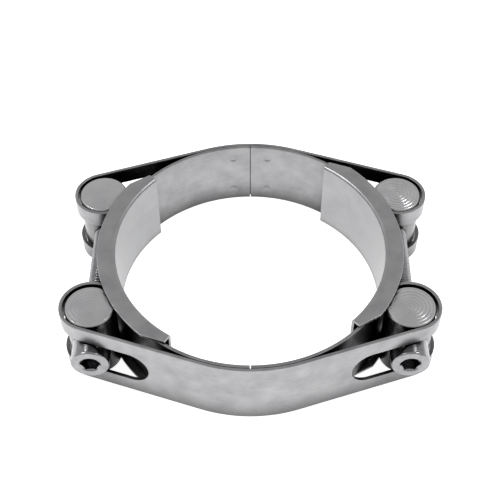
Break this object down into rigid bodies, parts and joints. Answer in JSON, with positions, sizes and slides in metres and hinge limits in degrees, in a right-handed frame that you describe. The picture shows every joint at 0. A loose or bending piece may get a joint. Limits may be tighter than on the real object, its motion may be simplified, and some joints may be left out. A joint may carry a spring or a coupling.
{
  "type": "double bolt hose clamp",
  "caption": "Round pipe clamp of folded steel strip halves with eyes, cross pins, socket head screws and channel bridges under the gaps.",
  "frame": {"origin": "centre of the ring, halfway up the strip", "axes": "+Z along the pipe, +Y along the bolts from head to tip, +X from the left bolt to the right bolt"},
  "size_m": [0.1274, 0.105, 0.0294],
  "materials": {
    "band": "zinc plated strip",
    "trunnion": "turned and zinc plated",
    "bolt": "bright zinc",
    "bridge": "zinc plated strip, satin"
  },
  "bodies": {
    "rear_half": {"rear_band": "band", "rear_left_trunnion": "trunnion", "rear_right_trunnion": "trunnion"},
    "front_half": {"front_band": "band", "front_left_trunnion": "trunnion", "front_right_trunnion": "trunnion"},
    "left_screw": {"left_bolt": "bolt"},
    "right_screw": {"right_bolt": "bolt"},
    "left_channel": {"left_bridge": "bridge"},
    "right_channel": {"right_bridge": "bridge"}
  },
  "joints": [
    {"name": "closing", "type": "slide", "parent": "rear_half", "child": "front_half", "axis": [0, 1, 0], "range_m": [-0.008, 0.004]},
    {"name": "left_turn", "type": "hinge", "parent": "front_half", "child": "left_screw", "pos_m": [-0.0533, -0.0328, 0], "axis": [0, 1, 0], "range_deg": [-2310, 1160]},
    {"name": "right_turn", "type": "hinge", "parent": "front_half", "child": "right_screw", "pos_m": [0.0533, -0.0328, 0], "axis": [0, 1, 0], "range_deg": [-2310, 1160]},
    {"name": "left_bridge_slide", "type": "slide", "parent": "rear_half", "child": "left_channel", "axis": [0, 1, 0], "range_m": [-0.0041, 0.0021]},
    {"name": "right_bridge_slide", "type": "slide", "parent": "rear_half", "child": "right_channel", "axis": [0, 1, 0], "range_m": [-0.0041, 0.0021]}
  ],
  "couplings": [
    {"joint": "left_turn", "follows": "closing", "rad_per_m": 5026.5},
    {"joint": "right_turn", "follows": "closing", "rad_per_m": 5026.5},
    {"joint": "left_bridge_slide", "follows": "closing", "ratio": 0.5},
    {"joint": "right_bridge_slide", "follows": "closing", "ratio": 0.5}
  ]
}
